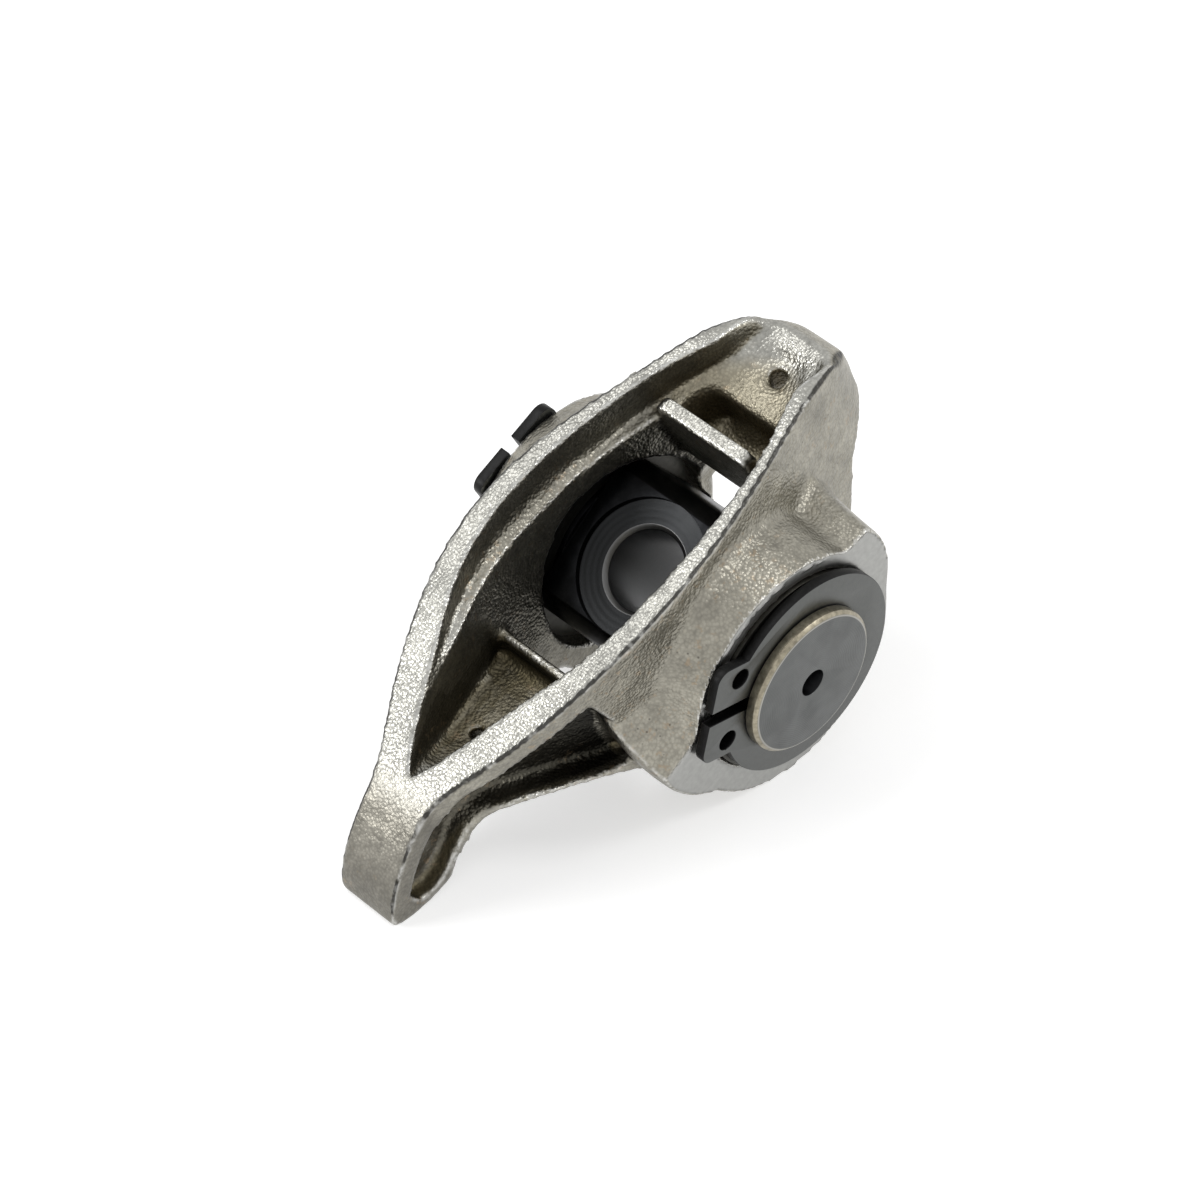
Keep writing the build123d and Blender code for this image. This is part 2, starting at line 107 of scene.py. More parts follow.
class Graph:                        # a tree of nodes, empty to begin with
    def __init__(self, tree):
        self.tree = tree
        tree.nodes.clear()

    def feed(self, socket, value):
        if isinstance(value, Wire):
            self.tree.links.new(value.socket, socket)
        elif isinstance(value, tuple) and socket.type == "RGBA":
            socket.default_value = (*value, 1)[:4]
        else:
            socket.default_value = value

    def node(self, kind, settings=None, sockets=None, output=0):
        made = self.tree.nodes.new(kind)
        for name, value in (settings or {}).items():
            if name == "stops":
                self.setStops(made.color_ramp, value)
            else:
                setattr(made, name, value)
        pairs = enumerate(sockets) if isinstance(sockets, list) else (sockets or {}).items()
        for key, value in pairs:
            self.feed(made.inputs[key], value)
        if output is not None:
            return Wire(self, made.outputs[output])

    def setStops(self, ramp, stops):
        while len(ramp.elements) < len(stops):
            ramp.elements.new(0.5)
        for element, (place, shade) in zip(ramp.elements, stops):
            element.position = place
            element.color = (shade, shade, shade, 1)

    def seen(self):                 # 1 for rays that show the background, straight or in metal or glass
        rays = [self.node("ShaderNodeLightPath", output=name + " Ray")
                for name in ("Is Camera", "Is Glossy", "Is Transmission")]
        return (rays[0] + rays[1] + rays[2]).maths("MINIMUM", 1.0)

    def place(self, turn=0.0):      # object coordinates in millimetres, turned about Y
        here = self.node("ShaderNodeTexCoord", output="Object")
        return self.node("ShaderNodeMapping", {},
                         {"Vector": here, "Rotation": (0, turn, 0), "Scale": (1 / mm,) * 3})

    def facing(self, turn=0.0):     # which way the surface faces, turned about Y
        normal = self.node("ShaderNodeTexCoord", output="Normal")
        return self.node("ShaderNodeMapping", {"vector_type": "NORMAL"},
                         {"Vector": normal, "Rotation": (0, turn, 0)})

    def axes(self, vector):
        split = self.tree.nodes.new("ShaderNodeSeparateXYZ")
        self.tree.links.new(vector.socket, split.inputs[0])
        return [Wire(self, socket) for socket in split.outputs]

    def measured(self, name):       # a value kept on the points of the mesh
        return self.node("ShaderNodeAttribute", {"attribute_name": name}, output="Fac")

    def noise(self, vector, size, detail=3.0, roughness=0.55, output="Fac"):
        return self.node("ShaderNodeTexNoise", {}, {"Vector": vector, "Scale": 1 / size, "Detail": detail,
                                                    "Roughness": roughness}, output)

    def cells(self, vector, size):  # distance to the middle of each cell
        return self.node("ShaderNodeTexVoronoi", {}, {"Vector": vector, "Scale": 1 / size}, "Distance")

    def blend(self, mask, under, over, kind="MIX"):
        made = self.tree.nodes.new("ShaderNodeMix")
        made.data_type = "RGBA"
        made.blend_type = kind
        for index, value in ((0, mask), (6, under), (7, over)):
            self.feed(made.inputs[index], value)
        return Wire(self, made.outputs[2])

    # darkens and lightens a colour by a pattern
    def shade(self, colour, pattern, low, high, strength=1.0):
        tone = self.node("ShaderNodeValToRGB", {"stops": [(0.3, low), (0.7, high)]}, {"Fac": pattern})
        return self.blend(strength, colour, tone, "MULTIPLY")

    def bump(self, height, depth, under=None):
        sockets = {"Height": height, "Distance": depth * mm}
        if under:
            sockets["Normal"] = under
        return self.node("ShaderNodeBump", {}, sockets)


class Finish(Graph):                # one material
    def __init__(self, name):
        self.material = bpy.data.materials.new(name)
        self.material.use_nodes = True
        super().__init__(self.material.node_tree)
        self.shader = self.tree.nodes.new("ShaderNodeBsdfPrincipled")
        output = self.tree.nodes.new("ShaderNodeOutputMaterial")
        self.tree.links.new(self.shader.outputs["BSDF"], output.inputs["Surface"])

    def dress(self, **sockets):
        for name, value in sockets.items():
            self.feed(self.shader.inputs[name.replace("_", " ")], value)


castLook = {
    "skin": (0.330, 0.314, 0.266),  # as cast
    "land": (0.41, 0.405, 0.372),   # the rim, rubbed bright
    "tip": (0.225, 0.214, 0.184),   # the valve tip
    "deepShade": (0.028, 0.027, 0.021),  # painted shade in the hollows, darkest where they are least open
    "frontDeepShade": (0.078, 0.070, 0.048),     # painted shade in the hollows, lighter towards the valve tip
    "rearDeepShade": (0.165, 0.140, 0.090),      # painted shade in the hollows, lighter and browner over the pushrod
    "floor": (0.175, 0.150, 0.092),         # painted shade on the floor of the valve pocket, lighter and browner than on its walls
    "block": (0.330, 0.300, 0.225),         # top of the block over the pushrod
    "recess": (0.120, 0.112, 0.090),        # painted shade under the rim, on each side of the valve arm
    "recessEnd": (0.022, 0.021, 0.017),     # painted shade, nearly black, where the recess runs out at the boss
    "rubbed": (0.78, 0.78, 0.76),   # worn edges
    # painted shade along the rounded edge between the rim's top and its outer side
    "rimEdgeShade": (0.020, 0.019, 0.017),
    "stain": (0.33, 0.25, 0.165),
    "ground": (0.36, 0.36, 0.345),  # machined boss faces
    "pit": (0.045, 0.042, 0.036),
    "blockAmount": 0.8,             # how strongly some of these colours cover the skin
    "stainAmount": 0.5,
    "pitAmount": 0.6,
    "rubAmount": 0.55,
    "rimEdgeShadeAmount": 0.9,
    "pebble": 0.34,                 # sizes and depths of the grain, mm
    "pebbleDepth": 0.085,
    "lump": 2.4,
    "lumpDepth": 0.22,
    "grit": 0.3,
    "patch": 4.5,
    "mottle": 1.1,
    "stainSize": 0.8,
    "stainSpread": 5.0,
    "pitSize": 0.9,
    "pitSpread": 3.0,
    "tipStart": -33.5,              # places along the arm, mm: darker from here to the valve tip
    "recessDark": -24.0,            # the painted shade in the recess darkens from about here to the boss
    "frontHollow": -18.0,           # the hollow's front part lies before this
    "floorEnd": -14.0,
    "recessFinish": -11.0,
    "rearHollow": 11.0,             # and its rear part lies behind this
    "blockStart": 13.0,
    "innerHalf": 8.5,               # half the width of the space inside
    "flareSides": (9.0, 16.0),      # the boss flares, from the middle plane
    "faceStart": 15.93,             # machined face, from the middle plane
    "landDepth": 2.4,               # the bright land reaches this far below the rim's line
    "rimEdgeShadeDepths": (-1.9, 2.8),      # and the painted shade along the rim's rounded edge lies between these
    "rimPeak": (-6.0, 19.0),        # the rim's line and its plan, as parabolas along the arm
    "rimFall": 0.0074,
    "rimHalf": 12.1,
    "rimNarrowing": 0.0108,
}


def makeCastSteel():
    f = Finish("castSteel")
    look = castLook
    point = f.place(armPitch)
    x, y, z = f.axes(point)
    ny, nz = f.axes(f.facing(armPitch))[1:]
    openness = f.measured("openness")
    edge = f.measured("edge")
    side = abs(y)
    outward = ny * y / side.maths("MAXIMUM", 0.01)      # 1 where the surface faces away from the middle plane
    along = (x - look["rimPeak"][0]) ** 2
    underRim = look["rimPeak"][1] - along * look["rimFall"] - z
    inPlan = look["rimHalf"] - along * look["rimNarrowing"] - side
    land = underRim.below(look["landDepth"], 0.9) * nz.above(0.6, 0.22)
    floor = nz.above(0.45, 0.25) * (1 - land) * side.below(look["innerHalf"], 1.0)
    ground = side.above(look["faceStart"], 0.05) * outward.above(0.86, 0.08)
    # painted shade under the rim on the arm's outer sides, darkening to nearly black at the boss
    recess = inPlan.above(0.9, 0.5) * x.below(look["recessFinish"], 1.5) * underRim.above(1.8, 0.6)
    recess = recess * f.measured("outside")
    cast = 1 - ground

    patch = f.noise(point, look["patch"], 4.0)
    atTip = x.below(look["tipStart"], 2.5)
    wander = f.blend(0.12, point, f.noise(point, 0.5, 2.0, output="Color"), "ADD")
    pebbles = f.cells(wander, look["pebble"])
    colour = f.blend(atTip, look["skin"], look["tip"])
    colour = f.blend(land * x.above(look["tipStart"] - 1.0, 3.0), colour, look["land"])
    recessColour = f.blend(x.above(look["recessDark"], 9.0), look["recess"], look["recessEnd"])
    colour = f.blend(recess, colour, recessColour)
    # painted shade: where few rays get out of a hollow (low openness), the colour darkens to these shades
    hollowShade = openness.below(0.5, 0.28) * (1 - recess)
    hollowShadeColour = f.blend(x.below(look["frontHollow"], 6.0), look["deepShade"], look["frontDeepShade"])
    colour = f.blend(hollowShade, colour, f.blend(x.above(look["rearHollow"], 1.2), hollowShadeColour, look["rearDeepShade"]))
    # painted shade on the valve pocket's floor, lighter than in the rest of the hollow
    colour = f.blend(floor * x.below(look["floorEnd"], 1.5) * hollowShade, colour, look["floor"])
    colour = f.blend(floor * x.above(look["blockStart"], 1.5) * look["blockAmount"], colour, look["block"])
    colour = f.shade(colour, patch, 0.76, 1.16)
    colour = f.shade(colour, f.noise(point, look["mottle"], 4.0, 0.6), 0.84, 1.1)
    colour = f.shade(colour, 1 - pebbles, 0.6, 1.04, cast * (0.2 + 0.5 * patch))
    flare = side.between(*look["flareSides"], 1.5) * x.below(6.0, 5.0)
    stain = f.noise(point, look["stainSize"], 4.0, 0.7).above(0.60, 0.05)
    stain = stain * (f.noise(point, look["stainSpread"]) + flare * 0.12).above(0.56, 0.07)
    colour = f.blend(stain * look["stainAmount"] * (1 - land), colour, look["stain"])
    pits = f.cells(point, look["pitSize"]).below(0.12, 0.05)
    pits = pits * f.noise(point, look["pitSpread"]).above(0.56, 0.05)
    colour = f.blend(pits * look["pitAmount"] * (1 - land), colour, look["pit"])
    rubbed = edge.above(0.10, 0.06) * f.noise(point, 0.7, 3.0).above(0.44, 0.14) * cast
    colour = f.blend(rubbed * look["rubAmount"], colour, look["rubbed"])
    # painted shade: a broken dark line along the rounded edge between the rim's top and its outer side
    rimEdgeShadeMask = outward.between(0.24, 0.84, 0.10) * underRim.between(*look["rimEdgeShadeDepths"], 0.4)
    rimEdgeShadeMask = rimEdgeShadeMask * nz.above(0.12, 0.1)
    broken = f.noise(point, 2.2, 3.0).above(0.38, 0.10)
    colour = f.blend(rimEdgeShadeMask * broken * look["rimEdgeShadeAmount"], colour, look["rimEdgeShade"])
    colour = f.blend(ground, colour, f.shade(look["ground"], f.noise(point, 0.6, 3.0), 0.9, 1.06))

    pebble = pebbles * -0.8 + f.noise(point, look["grit"], 2.0) * 0.5
    lumps = f.bump(f.noise(point, look["lump"], 2.0) * cast, look["lumpDepth"])
    normal = f.bump(pebble * (cast * 0.95 + 0.05) * (1 - 0.5 * atTip), look["pebbleDepth"], lumps)
    rough = 0.36 - 0.06 * land + 0.14 * hollowShade - 0.04 * ground - 0.06 * rubbed + 0.1 * rimEdgeShadeMask + 0.06 * atTip
    f.dress(Base_Color=colour, Metallic=1.0, Roughness=rough, Normal=normal)
    return f.material


oxideLook = {
    "black": (0.0095, 0.0098, 0.0105),
    "seat": (0.026, 0.027, 0.028),  # counterbored seat of the bolt
    "seatLip": (0.14, 0.14, 0.14),  # chamfer of the bolt hole
    "holeWall": (0.040, 0.041, 0.042),
    "endFace": (0.125, 0.129, 0.127),
    "edge": (0.34, 0.33, 0.30),     # chamfer of the journal's end
    "journal": (0.36, 0.325, 0.245),        # the bright band outside the groove
    "journalRadius": 8.0,           # sizes of the trunnion, mm
    "journalEnd": 19.05,
    "endChamfer": 0.4,
    "grooveEnd": 17.65,
    "seatHeight": 6.45,
    "seatRadius": 7.2,
    "holeRadius": 4.2,
    "holeChamfer": 0.45,
    "endTurning": 26.0,             # how close the marks of the lathe and of the cutter lie
    "seatFacing": 9.0,
}


def makeOxide():
    f = Finish("blackOxide")
    look = oxideLook
    point = f.place(boltLean)
    x, y, z = f.axes(point)
    side = abs(y)
    boltRadius = (x * x + y * y) ** 0.5
    spinRadius = (x * x + z * z) ** 0.5
    height, holeRadius = look["seatHeight"], look["holeRadius"]
    outerRadius = look["journalRadius"] - look["endChamfer"] - 0.1
    seat = z.between(height - 0.15, height + 0.15, 0.03) * boltRadius.below(look["seatRadius"], 0.05)
    hole = boltRadius.below(holeRadius + 0.06, 0.03)
    chamfer = boltRadius.between(holeRadius + 0.04, holeRadius + look["holeChamfer"] + 0.05, 0.03)
    chamfer = chamfer * z.above(0, 1)
    end = side.above(look["journalEnd"] - 0.06, 0.03)
    endEdge = spinRadius.above(outerRadius, 0.04) * end
    band = side.above(look["grooveEnd"] + 0.1, 0.03) * (1 - end) * spinRadius.above(outerRadius, 0.02)
    mottle = f.noise(point, 1.4, 4.0)
    colour = f.shade(look["black"], mottle, 0.8, 1.6)
    colour = f.blend(seat, colour, look["seat"])
    colour = f.blend(hole, colour, look["holeWall"])
    colour = f.blend(chamfer, colour, look["seatLip"])
    colour = f.blend(band, colour, f.shade(look["journal"], f.noise(point, 0.7, 4.0, 0.65), 0.5, 1.2))
    colour = f.blend(end, colour, f.shade(look["endFace"], f.noise(point, 2.5, 3.0), 0.85, 1.1))
    colour = f.blend(endEdge, colour, look["edge"])
    turned = (spinRadius * look["endTurning"]).wave() * end
    faced = (boltRadius * look["seatFacing"]).wave() * seat * 0.5
    normal = f.bump(turned * 0.4 + faced * 0.8 + f.noise(point, 0.25, 2.0) * 0.6, 0.01)
    f.dress(Base_Color=colour, Metallic=1.0, Roughness=0.34 - 0.06 * endEdge + 0.06 * mottle, Normal=normal)
    return f.material


phosphateLook = {
    "face": (0.135, 0.139, 0.134),
    # painted shade on the ring's edges
    "edge": (0.012, 0.012, 0.012),
    "speck": (0.05, 0.05, 0.05),
    "speckAmount": 0.35,
}


def makePhosphate():
    f = Finish("phosphate")
    look = phosphateLook
    point = f.place()
    flat = abs(f.axes(f.facing())[1]).above(0.85, 0.1)      # 1 on the ring's two faces
    # painted shade: the ring's edges, which face sideways, are near-black and its two faces grey
    colour = f.blend(flat, look["edge"], look["face"])
    colour = f.blend(f.noise(point, 0.5, 4.0) * look["speckAmount"], colour, look["speck"])
    grain = f.bump(f.noise(point, 0.18, 3.0), 0.012)
    f.dress(Base_Color=colour, Metallic=1.0, Roughness=0.42, Normal=grain)
    return f.material


bearingSteels = {
    "cup": {"colour": (0.07, 0.068, 0.06), "roughness": 0.4},
    "needle": {"colour": (0.42, 0.42, 0.41), "roughness": 0.25},
    "cage": {"colour": (0.12, 0.115, 0.10), "roughness": 0.42},
}


def makeBearingSteel(name):
    f = Finish(name + "Steel")
    look = bearingSteels[name]
    point = f.place()
    tone = f.shade(look["colour"], f.noise(point, 0.8, 3.0), 0.75, 1.1)
    grain = f.bump(f.noise(point, 0.2, 2.0), 0.006)
    f.dress(Base_Color=tone, Metallic=1.0, Roughness=look["roughness"], Normal=grain)
    return f.material


castSteel = makeCastSteel()
blackOxide = makeOxide()
phosphate = makePhosphate()
cupSteel = makeBearingSteel("cup")
needleSteel = makeBearingSteel("needle")
cageSteel = makeBearingSteel("cage")
print("finishes made")


def mergedCopy(nodeName, pieceName):
    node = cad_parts[nodeName]
    mesh = node.data.copy()
    mesh.materials.clear()
    work = bmesh.new()
    work.from_mesh(mesh)
    work.transform(node.matrix_world)
    bmesh.ops.remove_doubles(work, verts=work.verts, dist=weld)
    work.to_mesh(mesh)
    work.free()
    piece = bpy.data.objects.new(pieceName, mesh)
    bpy.context.scene.collection.objects.link(piece)
    return piece


def applyModifiers(piece):
    graph = bpy.context.evaluated_depsgraph_get()
    finished = bpy.data.meshes.new_from_object(piece.evaluated_get(graph))
    piece.modifiers.clear()
    piece.data = finished
    return finished


castBody = {
    "voxel": 0.36 * mm,
    "smoothings": 3,
    "blendings": 60,                # more smoothing, only where the casting has broad fillets
    "smoothing": 0.5,               # how far each pass moves a point
    "face": 16.15 * mm,             # machined boss face, from the middle plane
    "faceReach": 0.16 * mm,         # points this near to the face are put on it
    "pocketTip": [                  # along the arm: place, half width and floor of the pointed end
        (-32.9, 0.05, 14.0), (-31.0, 1.3, 12.4), (-29.2, 2.2, 10.9), (-26.5, 3.4, 9.2), (-22.4, 4.6, 8.0),
        (-16.4, 6.4, 6.2)],
    "pocketTop": 22.0,
    "dripHole": (-24.9, 0.9),       # place along the arm and across it
    "dripRadius": 0.75,
    "dripFoot": 5.8,
    "dripLength": 6.0,
    "dripSides": 20,
    "oilHole": 21.4,                # place along the arm
    "rays": 40,                     # over the whole sphere, to see how open each point lies
    "lowestRay": 0.1,               # those that graze the surface are left out
    "rayStart": 0.06 * mm,          # off the surface
    "rayLength": 15.0 * mm,
}


def spherePoints(count):
    points = []
    for index in range(count):
        height = 1 - 2 * (index + 0.5) / count
        turn = index * pi * (3 - 5 ** 0.5)
        ring = (1 - height * height) ** 0.5
        points.append(Vector((ring * cos(turn), ring * sin(turn), height)))
    return points


def measureOpenness(mesh):
    tree = BVHTree.FromPolygons([v.co for v in mesh.vertices], [p.vertices for p in mesh.polygons])
    rays = spherePoints(castBody["rays"])
    values = []
    outside = []                    # 1 where nothing stands between the point and its own side
    for vertex in mesh.vertices:
        start = vertex.co + vertex.normal * castBody["rayStart"]
        sideways = Vector((0, 1 if vertex.co.y > 0 else -1, 0))
        outside.append(1.0 if tree.ray_cast(start, sideways)[0] is None else 0.0)
        seen = [(ray, ray.dot(vertex.normal)) for ray in rays
                if ray.dot(vertex.normal) > castBody["lowestRay"]]
        free = [weight for ray, weight in seen
                if tree.ray_cast(start, ray, castBody["rayLength"])[0] is None]
        values.append(sum(free) / sum(weight for ray, weight in seen))
    mesh.attributes.new("openness", "FLOAT", "POINT").data.foreach_set("value", values)
    mesh.attributes.new("outside", "FLOAT", "POINT").data.foreach_set("value", outside)


def measureEdges(mesh):             # how far each point stands out from its neighbours, in voxels
    total = [Vector() for vertex in mesh.vertices]
    count = [0] * len(mesh.vertices)
    for edge in mesh.edges:
        for here, there in (edge.vertices, reversed(edge.vertices)):
            total[here] += mesh.vertices[there].co
            count[here] += 1
    values = [(v.co - total[v.index] / count[v.index]).dot(v.normal) / castBody["voxel"]
              for v in mesh.vertices]
    mesh.attributes.new("edge", "FLOAT", "POINT").data.foreach_set("value", values)


def armPoint(place):                # from the frame to the arm's own x and z, in mm
    x, y, z = place / mm
    return x * cos(armPitch) + z * sin(armPitch), y, z * cos(armPitch) - x * sin(armPitch)


def framePoint(x, y, z):            # and back
    return Vector((x * cos(armPitch) - z * sin(armPitch), y, z * cos(armPitch) + x * sin(armPitch))) * mm


def cutterFrom(work, name):         # an object for a boolean, from the mesh in work
    bmesh.ops.recalc_face_normals(work, faces=work.faces)
    mesh = bpy.data.meshes.new(name)
    work.to_mesh(mesh)
    work.free()
    cutter = bpy.data.objects.new(name, mesh)
    bpy.context.scene.collection.objects.link(cutter)
    return cutter


def makeDripDrill():                # the small blind hole in the floor of the valve pocket
    work = bmesh.new()
    x, y = castBody["dripHole"]
    middle = framePoint(x, y, castBody["dripFoot"] + castBody["dripLength"] / 2)
    placed = Matrix.Translation(middle) @ Matrix.Rotation(-armPitch, 4, "Y")
    radius = castBody["dripRadius"] * mm
    bmesh.ops.create_cone(work, cap_ends=True, segments=castBody["dripSides"], radius1=radius,
                          radius2=radius, depth=castBody["dripLength"] * mm, matrix=placed)
    return cutterFrom(work, "drip drill")


def makePocketCutter():             # the valve pocket, which runs to a point towards the tip
    work = bmesh.new()
    rings = []
    high = castBody["pocketTop"]
    for x, half, low in castBody["pocketTip"]:
        corners = ((-half, low), (half, low), (half, high), (-half, high))
        rings.append([work.verts.new(framePoint(x, y, z)) for y, z in corners])
    for before, after in zip(rings, rings[1:]):
        for index in range(4):
            following = (index + 1) % 4
            work.faces.new((before[index], before[following], after[following], after[index]))
    work.faces.new(rings[0])
    work.faces.new(reversed(rings[-1]))
    return cutterFrom(work, "pocket cutter")


def rimHeight(x):                   # the rim's line, by the arm's own x and z
    return castLook["rimPeak"][1] - castLook["rimFall"] * (x - castLook["rimPeak"][0]) ** 2


def ramp(value, low, high, soft):   # 1 between low and high, falling to 0 over soft
    return max(0.0, min(1.0, (value - low) / soft + 1, (high - value) / soft + 1))


fillets = {                         # low, high and how softly each range ends, in mm
    "flare": {"along": (-14.0, 30.0, 2.0), "side": (9.0, 15.2, 0.6), "belowRim": (3.2, 40.0, 1.2)},
    "blockTop": {"along": (19.5, 25.5, 1.5), "side": (0.0, 4.6, 0.6), "belowRim": (-1.0, 5.0, 1.0)},
    "behindRib": {"along": (12.2, 19.0, 0.5), "side": (0.0, 6.8, 0.6), "up": (3.0, 11.6, 0.8)},
    "pocketFloor": {"along": (-31.5, -17.0, 1.5), "side": (0.0, 5.6, 1.0), "up": (5.0, 12.5, 1.0)},
}
filletLimits = {
    "pocketShare": 0.5,             # the pocket's floor gets this share of the smoothing
    "oilHole": (0.0, 1.3, 0.6),     # nothing is smoothed this near to the middle of a hole
    "dripHole": (0.0, 1.1, 0.6),
}


def softness(place):                # where the casting has broad fillets
    x, y, z = armPoint(place)
    here = {"along": x, "side": abs(y), "up": z, "belowRim": rimHeight(x) - z}
    weights = {name: prod(ramp(here[measure], *ends) for measure, ends in ranges.items())
               for name, ranges in fillets.items()}
    dripX, dripY = castBody["dripHole"]
    oil = ramp(hypot(x - castBody["oilHole"], y), *filletLimits["oilHole"])
    drip = ramp(hypot(x - dripX, y - dripY), *filletLimits["dripHole"])
    weights["blockTop"] *= 1 - oil
    weights["pocketFloor"] *= filletLimits["pocketShare"] * (1 - drip)
    return max(weights.values())


def makeCastBody():
    piece = mergedCopy("rocker_body", "cast_body")
    cutters = (makePocketCutter(), makeDripDrill())
    for cutter in cutters:
        cut = piece.modifiers.new(cutter.name, "BOOLEAN")
        cut.operation = "DIFFERENCE"
        cut.solver = "EXACT"
        cut.object = cutter
    remesh = piece.modifiers.new("skin", "REMESH")
    remesh.mode = "VOXEL"
    remesh.voxel_size = castBody["voxel"]
    smooth = piece.modifiers.new("soften", "SMOOTH")
    smooth.iterations = castBody["smoothings"]
    smooth.factor = castBody["smoothing"]
    solid = applyModifiers(piece)
    for cutter in cutters:
        bpy.data.objects.remove(cutter)
    group = piece.vertex_groups.new(name="fillets")
    for vertex in solid.vertices:
        weight = softness(vertex.co)
        if weight > 0:
            group.add([vertex.index], weight, "REPLACE")
    blending = piece.modifiers.new("fillets", "SMOOTH")
    blending.iterations = castBody["blendings"]
    blending.factor = castBody["smoothing"]
    blending.vertex_group = group.name
    solid = applyModifiers(piece)
    piece.vertex_groups.clear()
    for vertex in solid.vertices:
        if abs(abs(vertex.co.y) - castBody["face"]) < castBody["faceReach"]:
            vertex.co.y = castBody["face"] if vertex.co.y > 0 else -castBody["face"]
    solid.shade_smooth()
    measureOpenness(solid)
    measureEdges(solid)
    solid.materials.append(castSteel)
    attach(piece, "rocker")
    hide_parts("rocker_body")
    print("cast body", len(solid.polygons), "faces")


bevelSteps = 2
turnedPieces = {                    # pieces whose edges are broken by a small bevel
    "trunnion": {"finish": blackOxide, "slot": "blackened_steel", "bevel": 0.1 * mm,
                 "mouth": 1.5 * mm},        # the centre drillings open out to this radius at the ends
    "front_snap_ring": {"finish": phosphate, "slot": "phosphate_steel", "bevel": 0.1 * mm},
    "rear_snap_ring": {"finish": phosphate, "slot": "phosphate_steel", "bevel": 0.1 * mm},
}


def makeTurnedPiece(name, sizes):
    piece = mergedCopy(name, name + "_finished")
    work = bmesh.new()
    work.from_mesh(piece.data)
    bmesh.ops.dissolve_limit(work, angle_limit=flatEdge, verts=work.verts, edges=work.edges)
    work.to_mesh(piece.data)
    work.free()
    endFace = (oxideLook["journalEnd"] - 0.01) * mm
    for vertex in piece.data.vertices:
        radius = hypot(vertex.co.x, vertex.co.z)
        if abs(vertex.co.y) > endFace and 0 < radius < sizes.get("mouth", 0):
            vertex.co.x *= sizes["mouth"] / radius
            vertex.co.z *= sizes["mouth"] / radius
    bevel = piece.modifiers.new("broken edges", "BEVEL")
    bevel.width = sizes["bevel"]
    bevel.segments = bevelSteps
    bevel.limit_method = "ANGLE"
    bevel.angle_limit = sharpEdge
    mesh = applyModifiers(piece)
    mesh.shade_smooth()
    mesh.set_sharp_from_angle(angle=sharpEdge)
    mesh.materials.append(sizes["finish"])
    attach(piece, "trunnion")
    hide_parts(name)
    print(name, len(mesh.polygons), "faces")


makeCastBody()
for name, sizes in turnedPieces.items():
    makeTurnedPiece(name, sizes)

bearing = {
    "needles": 16,                  # in each bearing
    "needleRadius": 0.97 * mm,
    "needleLength": 4.56 * mm,
    "needleRound": 0.25 * mm,       # at its ends
    "pitchRadius": 9.0 * mm,
    "middle": 12.6 * mm,            # from the arm's middle plane
    "cageInner": 8.37 * mm,
    "cageOuter": 9.63 * mm,
    "cageLength": 5.76 * mm,
    "cageEnd": 0.5 * mm,
    "barWidth": 1.1 * mm,
    "needleSides": 20,              # faces round a needle, along it, and round a hoop of the cage
    "needleSteps": 30,
    "hoopSteps": 96,
}


def newTree(name, inputs):          # a Geometry Nodes tree with named inputs and nothing in it
    tree = bpy.data.node_groups.new(name, "GeometryNodeTree")
    for label, kind in inputs:
        tree.interface.new_socket(label, in_out="INPUT", socket_type="NodeSocket" + kind)
    tree.interface.new_socket("Geometry", in_out="OUTPUT", socket_type="NodeSocketGeometry")
    g = Graph(tree)
    source = tree.nodes.new("NodeGroupInput")
    return g, [Wire(g, source.outputs[label]) for label, kind in inputs]


def closeTree(g, geometry, finish):
    real = g.node("GeometryNodeRealizeInstances", {}, [geometry])
    dressed = g.node("GeometryNodeSetMaterial", {}, {"Geometry": real, "Material": finish})
    g.node("NodeGroupOutput", {}, [dressed], None)
    return g.tree


def needleTree():
    g, (radius, length, rounding, place, finish) = newTree("needle", [
        ("Radius", "Float"), ("Length", "Float"), ("Rounding", "Float"), ("Place", "Vector"),
        ("Finish", "Material")])
    bar = g.node("GeometryNodeMeshCylinder", {}, {
        "Vertices": bearing["needleSides"], "Side Segments": bearing["needleSteps"], "Radius": radius,
        "Depth": length})
    x, y, z = g.axes(g.node("GeometryNodeInputPosition"))
    late = ((abs(z) - length / 2 + rounding) / rounding).maths("MAXIMUM", 0.0).maths("MINIMUM", 1.0)
    shrink = 1 - rounding / radius * (1 - (1 - late * late).maths("SQRT"))
    moved = g.node("ShaderNodeCombineXYZ", {}, [x * shrink, y * shrink, z])
    shaped = g.node("GeometryNodeSetPosition", {}, {"Geometry": bar, "Position": moved})
    smooth = g.node("GeometryNodeSetShadeSmooth", {}, [shaped])
    laid = g.node("GeometryNodeTransform", {},
                  {"Geometry": smooth, "Translation": place, "Rotation": (pi / 2, 0, 0)})
    return closeTree(g, laid, finish)


